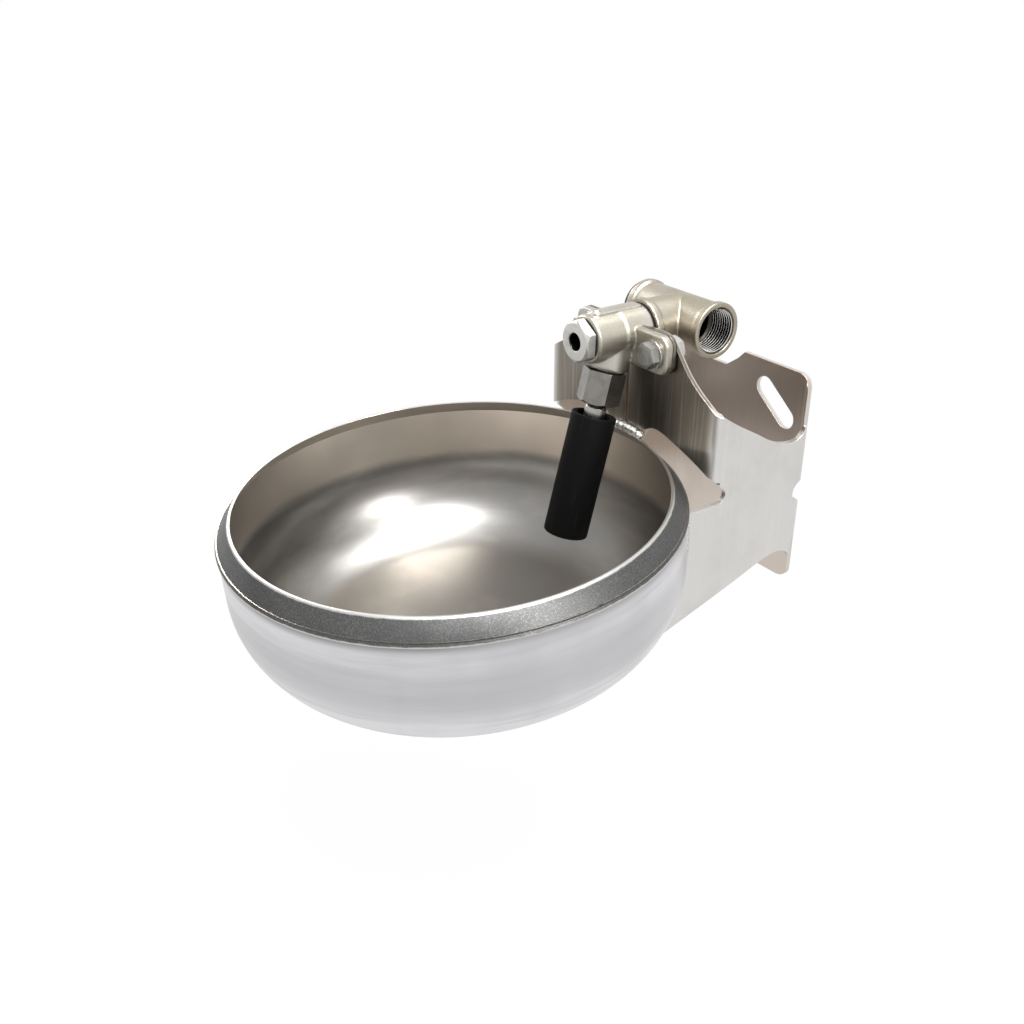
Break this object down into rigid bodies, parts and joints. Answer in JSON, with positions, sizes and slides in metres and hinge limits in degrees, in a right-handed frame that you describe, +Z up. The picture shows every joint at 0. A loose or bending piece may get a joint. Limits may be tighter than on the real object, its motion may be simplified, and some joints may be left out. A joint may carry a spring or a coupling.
{
  "type": "livestock drinking bowl",
  "caption": "Wall-mounted stainless drinking bowl for cattle: a round dish on a folded bracket, filled through a tube valve that opens when the animal pushes its rubber-sleeved tube.",
  "frame": {"origin": "centre of the bracket's wall-side mounting face", "axes": "+Y into the wall, -Y out over the bowl towards the animal, +Z up, +X towards the tee's open end"},
  "size_m": [0.2508, 0.3195, 0.1816],
  "materials": {
    "bowl_steel": "satin",
    "rim_steel": "brushed, darker",
    "sheet_steel": "satin",
    "weld_steel": "rough bead",
    "cast_steel": "blasted casting",
    "turned_steel": "machined",
    "bolt_steel": "machined",
    "mesh_steel": "fine mesh",
    "spring_steel": "bright wire",
    "brass": "machined",
    "black_rubber": "matt",
    "sleeve_rubber": "smooth matt",
    "black_plastic": "matt",
    "white_plastic": "smooth"
  },
  "bodies": {
    "base": {"bowl": "bowl_steel", "rim_ring": "rim_steel", "bracket": "sheet_steel", "rear_weld": "weld_steel", "side_welds": "weld_steel", "valve_housing": "cast_steel", "flange_spacer": "sheet_steel", "flange_gasket": "black_rubber", "flange_bolts": "bolt_steel", "flange_washers": "bolt_steel", "flange_nuts": "bolt_steel", "tee": "cast_steel", "tee_seal": "black_rubber", "strainer": "mesh_steel", "tee_plug": "black_plastic", "tee_plug_seal": "black_rubber", "front_plug": "turned_steel", "front_seal": "black_rubber", "valve_seat": "white_plastic", "valve_spring": "spring_steel", "nut_seal": "black_rubber", "union_nut": "turned_steel"},
    "screw": {"flow_screw": "brass"},
    "stem": {"valve_stem": "turned_steel", "stem_seal": "black_rubber"},
    "swivel": {"swivel_ring": "white_plastic"},
    "spout": {"tube": "turned_steel", "sleeve": "sleeve_rubber"}
  },
  "joints": [
    {"name": "tube_push", "type": "hinge", "parent": "base", "child": "swivel", "pos_m": [0, -0.09506, 0.05269], "axis": [1, 0, 0], "range_deg": [0, 12], "stiffness_Nm_per_rad": 0.5, "springref_deg": -11.46},
    {"name": "tube_side", "type": "hinge", "parent": "swivel", "child": "spout", "pos_m": [0, -0.09506, 0.05269], "axis": [0, 0.9659, -0.2588], "range_deg": [-10, 10], "stiffness_Nm_per_rad": 0.5},
    {"name": "stem_lift", "type": "slide", "parent": "base", "child": "stem", "axis": [0, 0.2588, 0.9659], "range_m": [0, 0.0018], "stiffness_N_per_m": 300, "springref_m": -0.006, "deforming": ["valve_spring"]},
    {"name": "flow_turn", "type": "hinge", "parent": "base", "child": "screw", "pos_m": [0, -0.105, 0.0865], "axis": [0, 1, 0], "range_deg": [0, 180]}
  ],
  "couplings": [
    {"joint": "stem_lift", "follows": "tube_push", "m_per_rad": 0.00859}
  ]
}
